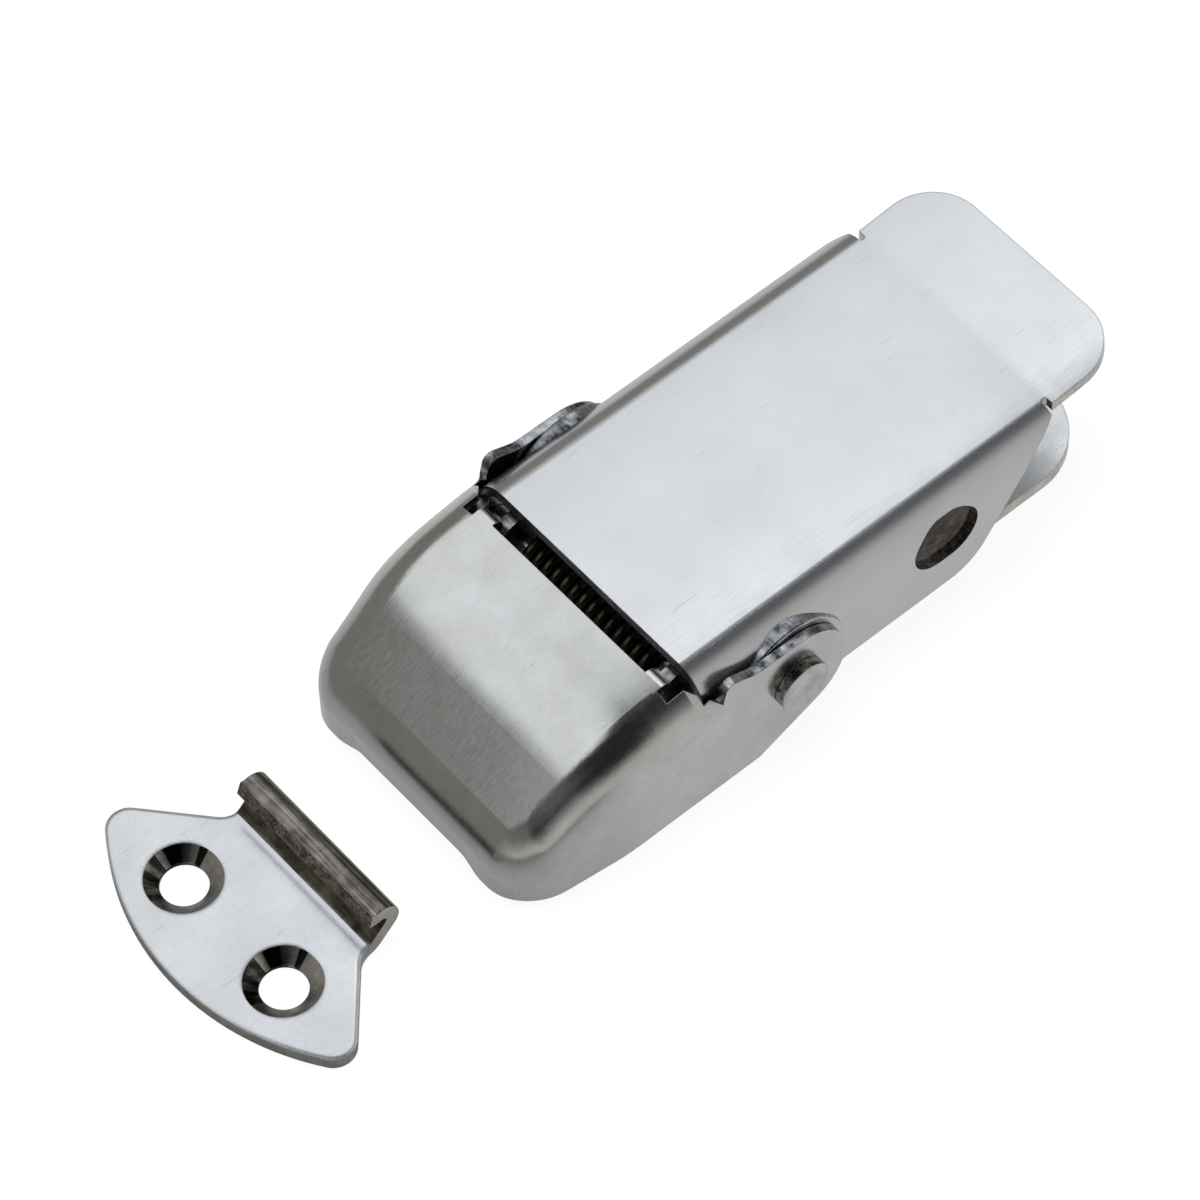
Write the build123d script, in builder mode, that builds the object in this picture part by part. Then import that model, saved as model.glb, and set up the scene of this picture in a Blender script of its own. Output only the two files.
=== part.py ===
"""Over centre toggle latch: base, channel lever with thumb tab, drawn hook cap, pins, spring and keeper.

Millimetres, +Z up. The origin lies on the mounting face, midway between the two base screws.
+X runs along the latch towards the thumb tab, -X towards the keeper, and Y runs across the width.
"""
import math
import os

from build123d import *

os.makedirs("parts", exist_ok=True)

# Base: a folded strip with two pivot ears and two padlock lugs
BASE_SHEET = 1.5
BASE_WIDTH = 24.8
BASE_FRONT_X = -32.5
BASE_TAIL_X = 30.6
BASE_TAIL_RADIUS = 8.0
BASE_NOSE_RADIUS = 3.0
BASE_BEND_RADIUS = 2.0
BASE_BEND_RELIEF = 1.0
SCREW_SPACING = 34.0
SCREW_HOLE_DIAMETER = 4.8
COUNTERSINK_DIAMETER = 7.8
COUNTERSINK_LAND = 0.4
EAR_HALF_LENGTH = 3.9
LUG_HALF_LENGTH = 6.9
LUG_HEADROOM = 0.7
LUG_CORNER_RADIUS = 3.0

# Lever pivot
PIVOT_X = -24.5
PIVOT_Z = 10.3
PIVOT_PIN_DIAMETER = 3.0
PIVOT_PIN_SETBACK = 0.4
PIN_CHAMFER = 0.2

# Lever: a folded channel whose tab bends gently upwards
LEVER_SHEET = 1.2
LEVER_WIDTH = 32.5
LEVER_TOP_Z = 16.8
LEVER_SKIRT_Z = 3.9
LEVER_BEND_RADIUS = 3.5
LEVER_FRONT_X = -25.1
CHEEK_REACH = 3.8
CHEEK_TOP_Z = 12.9
CHEEK_LOWER_RADIUS = 4.5
CHEEK_UPPER_RADIUS = 2.5
HEEL_X = 9.4
HEEL_RADIUS = 5.5
SHOULDER_X = 17.0
SHOULDER_Z = 14.6
SHOULDER_RADIUS = 4.0
TAB_ROOT_X = 21.2
TAB_END_X = 31.6
TAB_WIDTH = 27.8
TAB_CORNER_RADIUS = 5.8
TAB_RISE_DEGREES = 5.2
TAB_BEND_RADIUS = 20.0
NOTCH_WIDTH = 0.7
NOTCH_FLOOR_WIDTH = 26.4

# Padlock eye through the lever and the lugs
PADLOCK_X = 5.8
PADLOCK_Z = 11.6
PADLOCK_EYE_LENGTH = 8.1
PADLOCK_EYE_HEIGHT = 6.8
LUG_EYE_Z = 10.8
LUG_EYE_LENGTH = 8.7
LUG_EYE_HEIGHT = 5.8

# Hook pivot: bosses pressed out of the lever, and headed rivets
HOOK_PIVOT_X = -14.5
HOOK_PIVOT_Z = 9.1
BOSS_RADIUS = 6.8
BOSS_HEIGHT = 0.4
BOSS_EDGE_RADIUS = 0.25
RIVET_SHANK_DIAMETER = 4.0
RIVET_HEAD_DIAMETER = 5.8
RIVET_HEAD_HEIGHT = 1.15
RIVET_HEAD_EDGE = 0.25
RIVET_TAIL_DIAMETER = 5.6
RIVET_TAIL_HEIGHT = 0.8

# Hook cap: one deep drawn piece, open below and behind
CAP_SHEET = 1.0
CAP_NOSE_X = -48.3
CAP_BROW_REACH = 0.35
CAP_REAR_X = -27.8
CAP_CORNER_REAR_X = -26.4
CAP_REAR_TOP_Z = 16.2
CAP_REAR_SLOPE = 8.0
CAP_KNEE_X = -36.0
CAP_KNEE_RADIUS = 22.0
CAP_NOSE_SLOPE = 34.0
CAP_NOSE_RADIUS = 6.0
CAP_SIDE_BEND = 4.7
CAP_TAPER_X = -36.0
CAP_TAPER_DEGREES = 6.5
CAP_TAPER_RADIUS = 30.0
CAP_CORNER_RADIUS = 6.5
CAP_SKIRT_Z = 0.5
CAP_LIP_Z = 1.2
CAP_LIP_HALF_LENGTH = 7.4
CAP_LIP_RUN_OUT = 2.4
CREASE_Z = 4.5
CREASE_DEPTH = 0.3
CREASE_HALF_LENGTH = 8.0
CREASE_RUN_OUT = 2.5
CLAW_REACH = 3.4
CLAW_HALF_LENGTH = 9.0
LEVER_NOSE_ROOM = 0.4
EAR_ROOT_X = -23.9
EAR_ROOT_Z = 14.2
EAR_CREST_X = -23.3
EAR_CREST_Z = 16.8
EAR_CREST_RADIUS = 1.0
EAR_SADDLE_X = -19.6
EAR_SADDLE_Z = 15.2
EAR_SADDLE_RADIUS = 5.0
EAR_END_RADIUS = 6.05
EAR_SKIRT_END_X = -19.3
CORNER_NOTCH_WIDTH = 1.5
CORNER_NOTCH_DEPTH = 0.6
FINGER_OUTER_WIDTH = 26.8
FINGER_WIDTH = 2.3
FINGER_DROP = 0.7
FINGER_BEND_RADIUS = 1.1
FINGER_LEAN_DEGREES = 25.0

# Torsion spring, close wound round the lever pivot
SPRING_WIRE = 1.25
SPRING_BORE_GAP = 0.17
SPRING_WHOLE_TURNS = 13
SPRING_TURN_GAP = 0.04
SPRING_LEVER_LEG = 14.0
SPRING_LEG_GAP = 0.1
SPRING_BASE_LEG_DEGREES = 153.0

# Keeper: a fan shaped plate with a curled lip
KEEPER_SHEET = 1.5
KEEPER_X = -69.6
KEEPER_HOLE_SPACING = 15.0
KEEPER_BACK_REACH = 7.55
KEEPER_CORNER_X = -0.5
KEEPER_CORNER_SPREAD = 37.8
KEEPER_CORNER_RADIUS = 2.3
KEEPER_WAIST_X = 7.4
KEEPER_WAIST_RADIUS = 2.5
KEEPER_LIP_LENGTH = 19.8
KEEPER_BEND_X = 7.8
KEEPER_BEND_RADIUS = 2.15
KEEPER_RISER_DEGREES = 45.0
KEEPER_RISER_RUN = 2.45
KEEPER_CURL_RADIUS = 1.25
KEEPER_CURL_DEGREES = 145.0
KEEPER_TIP_RADIUS = 2.0
KEEPER_TIP_DEGREES = 30.0

# Clearances
PIN_FIT = 0.03
RUNNING_FIT = 0.06
HOOK_SIDE_GAP = 0.1
HEAD_GAP = 0.05

# Worked out from the values above
base_half = BASE_WIDTH / 2
lever_half = LEVER_WIDTH / 2
lever_inner = lever_half - LEVER_SHEET
lever_under_z = LEVER_TOP_Z - LEVER_SHEET
boss_face = lever_half + BOSS_HEIGHT
cap_inner = boss_face + HOOK_SIDE_GAP
cap_half = cap_inner + CAP_SHEET
pin_radius = PIVOT_PIN_DIAMETER / 2
rivet_radius = RIVET_SHANK_DIAMETER / 2
far = 2 * LEVER_WIDTH


def side_plane(y=0.0):
    """Return a plane across Y at the given place, with X to the right and Z up."""
    return Plane(origin=(0, y, 0), x_dir=(1, 0, 0), z_dir=(0, -1, 0))


def cross_plane(x):
    """Return a plane across the latch at the given X, with Y to the right and Z up."""
    return Plane(origin=(x, 0, 0), x_dir=(0, 1, 0), z_dir=(1, 0, 0))


def countersunk_holes(spots, top_z):
    """Cut a screw hole at each (x, y) spot of a sheet, countersunk down to a narrow straight land."""
    flare = (COUNTERSINK_DIAMETER - SCREW_HOLE_DIAMETER) / 2
    half_angle = math.degrees(math.atan2(flare, top_z - COUNTERSINK_LAND))
    with Locations([(x, y, top_z) for x, y in spots]):
        CounterSinkHole(
            radius=SCREW_HOLE_DIAMETER / 2,
            counter_sink_radius=COUNTERSINK_DIAMETER / 2,
            counter_sink_angle=2 * half_angle,
        )


def at_height(z):
    """Return a test for edges whose middle lies at the given height."""
    return lambda edge: abs(edge.center().Z - z) < 0.01


# Base plate, with its pivot ears and padlock lugs bent up from the long edges
lug_top_z = lever_under_z - LUG_HEADROOM
ear_top_z = PIVOT_Z + EAR_HALF_LENGTH
upturns = [
    (PIVOT_X, EAR_HALF_LENGTH, ear_top_z, EAR_HALF_LENGTH - 0.05),
    (PADLOCK_X, LUG_HALF_LENGTH, lug_top_z, LUG_CORNER_RADIUS),
]
floor_edge = base_half - BASE_BEND_RADIUS

with BuildPart() as base_plate:
    with BuildSketch() as floor_outline:
        with BuildLine():
            Polyline(
                (BASE_FRONT_X, -base_half),
                (BASE_TAIL_X, -base_half),
                (BASE_TAIL_X, base_half),
                (BASE_FRONT_X, base_half),
                close=True,
            )
        make_face()
        fillet(floor_outline.vertices().group_by(Axis.X)[-1], BASE_TAIL_RADIUS)
        fillet(floor_outline.vertices().group_by(Axis.X)[0], BASE_NOSE_RADIUS)
        for middle_x, half_length, top_z, corner in upturns:
            with Locations((middle_x, base_half), (middle_x, -base_half)):
                Rectangle(2 * (half_length + BASE_BEND_RELIEF), 2 * BASE_BEND_RADIUS, mode=Mode.SUBTRACT)
    extrude(amount=BASE_SHEET)
    for middle_x, half_length, top_z, corner in upturns:
        with BuildSketch(cross_plane(middle_x - half_length)) as upturn_section:
            with BuildLine():
                Polyline(
                    (floor_edge - BASE_SHEET, 0),
                    (base_half, 0),
                    (base_half, top_z),
                    (base_half - BASE_SHEET, top_z),
                    (base_half - BASE_SHEET, BASE_SHEET),
                    (floor_edge - BASE_SHEET, BASE_SHEET),
                    close=True,
                )
            make_face()
            outer_corner = upturn_section.vertices().filter_by(
                lambda v: v.Y < 0.01 and v.X > base_half - 0.01
            )
            fillet(outer_corner, BASE_BEND_RADIUS)
            inner_corner = upturn_section.vertices().filter_by(
                lambda v: abs(v.Y - BASE_SHEET) < 0.01 and v.X > floor_edge
            )
            fillet(inner_corner, BASE_BEND_RADIUS - BASE_SHEET)
        extrude(amount=2 * half_length)
        top_corners = base_plate.edges().filter_by(Axis.Y).filter_by(at_height(top_z))
        fillet(top_corners.filter_by(lambda e: e.center().Y > 0), corner)
    mirror(about=Plane.XZ)
    with BuildSketch(side_plane()):
        with Locations((PIVOT_X, PIVOT_Z)):
            Circle(pin_radius + PIN_FIT)
        with Locations((PADLOCK_X, LUG_EYE_Z)):
            SlotOverall(LUG_EYE_LENGTH, LUG_EYE_HEIGHT)
    extrude(amount=far, both=True, mode=Mode.SUBTRACT)
    countersunk_holes([(-SCREW_SPACING / 2, 0), (SCREW_SPACING / 2, 0)], BASE_SHEET)
base_plate.part.label = "base_plate"
export_step(base_plate.part, "parts/base_plate.step")


# Lever: a bent channel cut to its side outline, with the bosses, the tab, the pivot holes and the eye
def channel_section(x, half_width, top_z, bottom_z, radius):
    """Return the outside of a channel at the given X: square below, with both upper corners rounded."""
    with BuildSketch(cross_plane(x)) as section:
        with BuildLine():
            Line((-half_width, bottom_z), (half_width, bottom_z))
            Line((half_width, bottom_z), (half_width, top_z - radius))
            RadiusArc((half_width, top_z - radius), (half_width - radius, top_z), -radius)
            Line((half_width - radius, top_z), (radius - half_width, top_z))
            RadiusArc((radius - half_width, top_z), (-half_width, top_z - radius), -radius)
            Line((-half_width, top_z - radius), (-half_width, bottom_z))
        make_face()
    return section.sketch


def is_cheek_corner(z):
    """Return a test for the forward corner of the side outline at the given height."""
    return lambda v: v.X < cheek_x + 0.01 and abs(v.Y - z) < 0.01


cheek_x = LEVER_FRONT_X - CHEEK_REACH
channel_length = TAB_ROOT_X - cheek_x

with BuildPart() as lever:
    extrude(channel_section(cheek_x, lever_half, LEVER_TOP_Z, 0, LEVER_BEND_RADIUS), amount=channel_length)
    with BuildSketch(side_plane()):
        with Locations((HOOK_PIVOT_X, HOOK_PIVOT_Z)):
            Circle(BOSS_RADIUS)
    extrude(amount=boss_face, both=True)
    circles = lever.edges().filter_by(GeomType.CIRCLE)
    fillet(circles.filter_by(lambda e: abs(e.center().Y) > lever_half + 0.01), BOSS_EDGE_RADIUS)
    inner_bend = LEVER_BEND_RADIUS - LEVER_SHEET
    inside = channel_section(cheek_x, lever_inner, lever_under_z, -LEVER_SHEET, inner_bend)
    extrude(inside, amount=channel_length, mode=Mode.SUBTRACT)
    with BuildSketch(side_plane()):
        with Locations((HOOK_PIVOT_X, HOOK_PIVOT_Z)):
            Circle(BOSS_RADIUS - LEVER_SHEET)
    extrude(amount=lever_inner + BOSS_HEIGHT, both=True, mode=Mode.SUBTRACT)
    with BuildSketch(side_plane()) as lever_profile:
        with BuildLine():
            Polyline(
                (cheek_x, LEVER_SKIRT_Z),
                (HEEL_X, LEVER_SKIRT_Z),
                (SHOULDER_X, SHOULDER_Z),
                (TAB_ROOT_X, LEVER_TOP_Z - NOTCH_WIDTH / 2),
                (TAB_ROOT_X, LEVER_TOP_Z),
                (LEVER_FRONT_X, LEVER_TOP_Z),
                (LEVER_FRONT_X, CHEEK_TOP_Z),
                (cheek_x, CHEEK_TOP_Z),
                close=True,
            )
        make_face()
        fillet(lever_profile.vertices().filter_by(is_cheek_corner(CHEEK_TOP_Z)), CHEEK_UPPER_RADIUS)
        fillet(lever_profile.vertices().filter_by(is_cheek_corner(LEVER_SKIRT_Z)), CHEEK_LOWER_RADIUS)
        fillet(lever_profile.vertices().filter_by(lambda v: abs(v.X - HEEL_X) < 0.01), HEEL_RADIUS)
        fillet(lever_profile.vertices().filter_by(lambda v: abs(v.X - SHOULDER_X) < 0.01), SHOULDER_RADIUS)
    extrude(amount=far, both=True, mode=Mode.INTERSECT)
    with BuildSketch(side_plane()):
        with BuildLine():
            upper = JernArc((TAB_ROOT_X, LEVER_TOP_Z), (1, 0), TAB_BEND_RADIUS, TAB_RISE_DEGREES)
            under_radius = TAB_BEND_RADIUS + LEVER_SHEET
            lower = JernArc((TAB_ROOT_X, lever_under_z), (1, 0), under_radius, TAB_RISE_DEGREES)
            tab_slope = math.radians(TAB_RISE_DEGREES)
            tab_run = (TAB_END_X - (upper @ 1).X) / math.cos(tab_slope)
            tab_step = Vector(math.cos(tab_slope), math.sin(tab_slope)) * tab_run
            Line(upper @ 1, upper @ 1 + tab_step)
            Line(upper @ 1 + tab_step, lower @ 1 + tab_step)
            Line(lower @ 1 + tab_step, lower @ 1)
            Line(lower @ 0, upper @ 0)
        make_face()
    extrude(amount=TAB_WIDTH / 2, both=True)
    tab_edges = lever.edges().filter_by(GeomType.LINE).filter_by(lambda e: e.center().X > TAB_END_X - 0.5)
    tab_sides = tab_edges.filter_by(lambda e: abs(e.center().Y) > TAB_WIDTH / 2 - 0.01)
    fillet(tab_sides.filter_by(lambda e: e.length < 2 * LEVER_SHEET), TAB_CORNER_RADIUS)
    for side in (-1, 1):
        with BuildSketch(Plane.XY.offset(LEVER_SKIRT_Z)):
            with Locations((TAB_ROOT_X, side * (NOTCH_FLOOR_WIDTH + far) / 2)):
                Rectangle(NOTCH_WIDTH, far)
            with Locations((TAB_ROOT_X, side * NOTCH_FLOOR_WIDTH / 2)):
                Circle(NOTCH_WIDTH / 2)
        extrude(amount=far, mode=Mode.SUBTRACT)
    with BuildSketch(side_plane()):
        with Locations((PIVOT_X, PIVOT_Z)):
            Circle(pin_radius + RUNNING_FIT)
        with Locations((HOOK_PIVOT_X, HOOK_PIVOT_Z)):
            Circle(rivet_radius + PIN_FIT)
        with Locations((PADLOCK_X, PADLOCK_Z)):
            SlotOverall(PADLOCK_EYE_LENGTH, PADLOCK_EYE_HEIGHT)
    extrude(amount=far, both=True, mode=Mode.SUBTRACT)
lever.part.label = "lever"
export_step(lever.part, "parts/lever.step")


# Hook cap: the outer and inner forms of the drawn shell share their outlines, set in by the sheet
rear_slope = math.radians(CAP_REAR_SLOPE)
nose_slope = math.radians(CAP_NOSE_SLOPE)
half_turn = (nose_slope - rear_slope) / 2
knee_z = CAP_REAR_TOP_Z + (CAP_KNEE_X - CAP_REAR_X) * math.tan(rear_slope)
taper = math.tan(math.radians(CAP_TAPER_DEGREES))


def cap_form(inset):
    """Return the drawn form, set in from its outside by the given amount and open below and behind."""
    knee_x = CAP_KNEE_X + inset * math.sin(rear_slope + half_turn) / math.cos(half_turn)
    inner_knee_z = knee_z - inset * math.cos(rear_slope + half_turn) / math.cos(half_turn)
    nose_x = CAP_NOSE_X + inset
    brow_z = inner_knee_z + (nose_x - knee_x) * math.tan(nose_slope)
    rear_z = inner_knee_z + (CAP_CORNER_REAR_X - knee_x) * math.tan(rear_slope)
    half_width = cap_half - inset
    front_x = nose_x - CAP_BROW_REACH
    front_y = half_width + (front_x - CAP_TAPER_X) * taper
    with BuildPart() as form:
        with BuildSketch(side_plane()) as outline:
            with BuildLine():
                Polyline(
                    (CAP_CORNER_REAR_X, rear_z),
                    (knee_x, inner_knee_z),
                    (nose_x, brow_z),
                    (nose_x, -CAP_SHEET),
                    (CAP_CORNER_REAR_X, -CAP_SHEET),
                    close=True,
                )
            make_face()
            fillet(outline.vertices().filter_by(lambda v: abs(v.X - knee_x) < 0.01), CAP_KNEE_RADIUS - inset)
            fillet(outline.vertices().filter_by(lambda v: abs(v.Y - brow_z) < 0.01), CAP_NOSE_RADIUS - inset)
        extrude(amount=cap_half, both=True)
        with BuildSketch(Plane.XY.offset(-CAP_SHEET)) as plan:
            with BuildLine():
                Polyline(
                    (CAP_CORNER_REAR_X, -half_width),
                    (CAP_TAPER_X, -half_width),
                    (front_x, -front_y),
                    (front_x, front_y),
                    (CAP_TAPER_X, half_width),
                    (CAP_CORNER_REAR_X, half_width),
                    close=True,
                )
            make_face()
            fillet(plan.vertices().filter_by(lambda v: abs(v.X - CAP_TAPER_X) < 0.01), CAP_TAPER_RADIUS)
            fillet(plan.vertices().filter_by(lambda v: v.X < front_x + 0.01), CAP_CORNER_RADIUS - inset)
        extrude(amount=LEVER_WIDTH, mode=Mode.INTERSECT)
        forward = form.edges().filter_by(lambda e: e.center().X < CAP_CORNER_REAR_X - 0.01)
        above = forward.filter_by(lambda e: e.center().Z > 0.01 - CAP_SHEET)
        ridge = above.filter_by(lambda e: abs(e.center().Y) > half_width / 2)
        upright = ridge.filter_by(Axis.Z)
        side_seams = upright.filter_by(lambda e: e.center().X > nose_x + 0.01)
        fillet(ridge - side_seams, CAP_SIDE_BEND - inset)
    return form.part


cap_outside = cap_form(0)
cap_hollow = cap_form(CAP_SHEET)

finger_outer = FINGER_OUTER_WIDTH / 2
notch_outer = finger_outer + CORNER_NOTCH_WIDTH
finger_lean = math.radians(FINGER_LEAN_DEGREES)


def touch_point(x, z, side):
    """Return where a straight edge from (x, z) touches the ear's round end, above (+1) or below (-1)."""
    run = HOOK_PIVOT_X - x
    fall = HOOK_PIVOT_Z - z
    distance = math.hypot(run, fall)
    heading = math.atan2(fall, run) + side * math.asin(EAR_END_RADIUS / distance)
    reach = math.sqrt(distance**2 - EAR_END_RADIUS**2)
    return (x + reach * math.cos(heading), z + reach * math.sin(heading))


ear_upper_tangent = touch_point(EAR_SADDLE_X, EAR_SADDLE_Z, 1)
ear_lower_tangent = touch_point(EAR_SKIRT_END_X, CAP_SKIRT_Z, -1)

with BuildPart() as hook_cap:
    add(cap_outside)
    add(cap_hollow, mode=Mode.SUBTRACT)
    with BuildSketch(Plane.XY.offset(-CAP_SHEET)):
        with Locations((CAP_NOSE_X, 0)):
            Rectangle(far, far)
    extrude(amount=CAP_SHEET + CAP_SKIRT_Z, mode=Mode.SUBTRACT)
    with BuildSketch(Plane.XY.offset(CAP_REAR_TOP_Z / 2)):
        with Locations((CAP_REAR_X + far / 2, 0)):
            Rectangle(far, 2 * notch_outer)
    extrude(amount=CAP_REAR_TOP_Z, mode=Mode.SUBTRACT)
    with BuildSketch(cross_plane(CAP_NOSE_X - CAP_SHEET)):
        with BuildLine():
            Polyline(
                (-CAP_LIP_HALF_LENGTH - CAP_LIP_RUN_OUT, CAP_SKIRT_Z),
                (CAP_LIP_HALF_LENGTH + CAP_LIP_RUN_OUT, CAP_SKIRT_Z),
                (CAP_LIP_HALF_LENGTH, CAP_LIP_Z),
                (-CAP_LIP_HALF_LENGTH, CAP_LIP_Z),
                close=True,
            )
        make_face()
    extrude(amount=CAP_SIDE_BEND + CAP_SHEET, mode=Mode.SUBTRACT)
    with BuildSketch(Plane.XY.offset(CAP_LIP_Z)):
        with Locations((CAP_NOSE_X + CAP_SHEET / 2 + CLAW_REACH / 2, 0)):
            Rectangle(CLAW_REACH, 2 * CLAW_HALF_LENGTH)
    extrude(amount=CAP_SHEET)
    with BuildSketch(Plane.XY):
        with BuildLine():
            Polyline(
                (CAP_NOSE_X, CREASE_HALF_LENGTH + CREASE_RUN_OUT),
                (CAP_NOSE_X + CREASE_DEPTH, CREASE_HALF_LENGTH),
                (CAP_NOSE_X + CREASE_DEPTH, -CREASE_HALF_LENGTH),
                (CAP_NOSE_X, -CREASE_HALF_LENGTH - CREASE_RUN_OUT),
                close=True,
            )
        make_face()
    extrude(amount=CREASE_Z, mode=Mode.SUBTRACT)
    for side in (-1, 1):
        with BuildSketch(Plane.XY.offset(HOOK_PIVOT_Z)):
            with Locations((CAP_REAR_X, side * (finger_outer + notch_outer) / 2)):
                Rectangle(2 * CORNER_NOTCH_DEPTH, CORNER_NOTCH_WIDTH)
        extrude(amount=far, mode=Mode.SUBTRACT)
    rear_ends = hook_cap.faces().filter_by(Axis.X).filter_by(
        lambda f: abs(f.center().X - CAP_CORNER_REAR_X) < 0.01
    )
    rear_end = rear_ends.sort_by(Axis.Y)[-1]
    bend_z = rear_end.edges().filter_by(GeomType.ELLIPSE).vertices().sort_by(Axis.Z)[0].Z
    bend_end = split(rear_end, bisect_by=Plane.XY.offset(bend_z), keep=Keep.TOP, mode=Mode.PRIVATE)
    with BuildSketch(cross_plane(EAR_ROOT_X)) as ear_root:
        with Locations(((cap_half + cap_inner) / 2, (EAR_ROOT_Z + bend_z) / 2)):
            Rectangle(CAP_SHEET, EAR_ROOT_Z - bend_z)
    loft([bend_end.face(), ear_root.sketch.face()])
    with BuildSketch(side_plane(cap_half)) as ear_outline:
        with BuildLine():
            Polyline(
                (CAP_CORNER_REAR_X, CAP_SKIRT_Z),
                (EAR_SKIRT_END_X, CAP_SKIRT_Z),
                ear_lower_tangent,
                (HOOK_PIVOT_X, HOOK_PIVOT_Z),
                ear_upper_tangent,
                (EAR_SADDLE_X, EAR_SADDLE_Z),
                (EAR_CREST_X, EAR_CREST_Z),
                (EAR_ROOT_X, EAR_ROOT_Z),
                (EAR_ROOT_X, bend_z),
                (CAP_CORNER_REAR_X, bend_z),
                close=True,
            )
        make_face()
        fillet(ear_outline.vertices().filter_by(lambda v: abs(v.X - EAR_SADDLE_X) < 0.01), EAR_SADDLE_RADIUS)
        fillet(ear_outline.vertices().filter_by(lambda v: abs(v.X - EAR_CREST_X) < 0.01), EAR_CREST_RADIUS)
        with Locations((HOOK_PIVOT_X, HOOK_PIVOT_Z)):
            Circle(EAR_END_RADIUS)
    extrude(amount=CAP_SHEET)
    with BuildSketch(Plane.XY.offset(PIVOT_Z)):
        with Locations((LEVER_FRONT_X - LEVER_NOSE_ROOM + far / 2, 0)):
            Rectangle(far, 2 * cap_inner)
    extrude(amount=far, mode=Mode.SUBTRACT)
    with BuildSketch(side_plane(finger_outer)):
        with BuildLine():
            start = Vector(math.cos(rear_slope), math.sin(rear_slope))
            across = Vector(math.sin(rear_slope), -math.cos(rear_slope)) * CAP_SHEET
            down = Vector(-math.sin(finger_lean), -math.cos(finger_lean)) * FINGER_DROP
            turn = -(CAP_REAR_SLOPE + 90 + FINGER_LEAN_DEGREES)
            root = Vector(CAP_REAR_X, CAP_REAR_TOP_Z)
            outside = JernArc(root, start, FINGER_BEND_RADIUS, turn)
            inside = JernArc(root + across, start, FINGER_BEND_RADIUS - CAP_SHEET, turn)
            Line(outside @ 1, outside @ 1 + down)
            Line(outside @ 1 + down, inside @ 1 + down)
            Line(inside @ 1 + down, inside @ 1)
            Line(inside @ 0, inside @ 0 - start)
            Line(inside @ 0 - start, outside @ 0 - start)
            Line(outside @ 0 - start, outside @ 0)
        make_face()
    extrude(amount=FINGER_WIDTH)
    mirror(about=Plane.XZ)
    with BuildSketch(side_plane()):
        with Locations((HOOK_PIVOT_X, HOOK_PIVOT_Z)):
            Circle(rivet_radius + RUNNING_FIT)
    extrude(amount=far, both=True, mode=Mode.SUBTRACT)
hook_cap.part.label = "hook_cap"
export_step(hook_cap.part, "parts/hook_cap.step")


# Lever pivot pin, held in the base ears and kept in place by the cap walls
pin_half_length = lever_half - PIVOT_PIN_SETBACK

with BuildPart() as lever_pin:
    with BuildSketch(side_plane()):
        with Locations((PIVOT_X, PIVOT_Z)):
            Circle(pin_radius)
    extrude(amount=pin_half_length, both=True)
    chamfer(lever_pin.edges().filter_by(GeomType.CIRCLE), PIN_CHAMFER)
lever_pin.part.label = "lever_pin"
export_step(lever_pin.part, "parts/lever_pin.step")


# Hook rivets: a flat head outside the ear, and a formed tail seated in the boss recess
head_seat = cap_half + HEAD_GAP
head_face = head_seat + RIVET_HEAD_HEIGHT
tail_seat = lever_inner + BOSS_HEIGHT
tail_face = tail_seat - RIVET_TAIL_HEIGHT

with BuildPart() as hook_rivet_left:
    with BuildSketch(side_plane(tail_face)):
        with Locations((HOOK_PIVOT_X, HOOK_PIVOT_Z)):
            Circle(RIVET_TAIL_DIAMETER / 2)
    extrude(amount=-RIVET_TAIL_HEIGHT)
    with BuildSketch(side_plane(tail_seat)):
        with Locations((HOOK_PIVOT_X, HOOK_PIVOT_Z)):
            Circle(rivet_radius)
    extrude(amount=tail_seat - head_seat)
    with BuildSketch(side_plane(head_seat)):
        with Locations((HOOK_PIVOT_X, HOOK_PIVOT_Z)):
            Circle(RIVET_HEAD_DIAMETER / 2)
    extrude(amount=-RIVET_HEAD_HEIGHT)
    rims = hook_rivet_left.edges().filter_by(GeomType.CIRCLE)
    fillet(rims.filter_by(lambda e: abs(e.center().Y - head_face) < 0.01), RIVET_HEAD_EDGE)
    fillet(rims.filter_by(lambda e: abs(e.center().Y - tail_face) < 0.01), RIVET_HEAD_EDGE)
hook_rivet_left.part.label = "hook_rivet_left"
export_step(hook_rivet_left.part, "parts/hook_rivet_left.step")

with BuildPart() as hook_rivet_right:
    add(mirror(hook_rivet_left.part, about=Plane.XZ, mode=Mode.PRIVATE))
hook_rivet_right.part.label = "hook_rivet_right"
export_step(hook_rivet_right.part, "parts/hook_rivet_right.step")


# Torsion spring: one leg reaches under the lever top, the other stands on the base floor
coil_radius = pin_radius + SPRING_BORE_GAP + SPRING_WIRE / 2
coil_pitch = SPRING_WIRE + SPRING_TURN_GAP
coil_tilt = math.atan2(coil_pitch, 2 * math.pi * coil_radius)
leg_run = SPRING_LEVER_LEG * math.cos(coil_tilt)
leg_room = lever_under_z - SPRING_LEG_GAP - SPRING_WIRE / 2 - PIVOT_Z
leg_slope = math.asin(leg_room / math.hypot(leg_run, coil_radius)) - math.atan2(coil_radius, leg_run)
first_angle = math.radians(SPRING_BASE_LEG_DEGREES)
last_angle = math.pi / 2 + leg_slope
coil_turns = SPRING_WHOLE_TURNS + (first_angle - last_angle) / (2 * math.pi)
coil_length = coil_turns * coil_pitch
foot_drop = PIVOT_Z + coil_radius * math.sin(first_angle) - BASE_SHEET - SPRING_WIRE / 2 - SPRING_LEG_GAP
foot_length = foot_drop / (-math.cos(first_angle) * math.cos(coil_tilt))
coil_frame = Plane(
    origin=(PIVOT_X, -coil_length / 2, PIVOT_Z),
    x_dir=(math.cos(first_angle), 0, math.sin(first_angle)),
    z_dir=(0, 1, 0),
)

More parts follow.
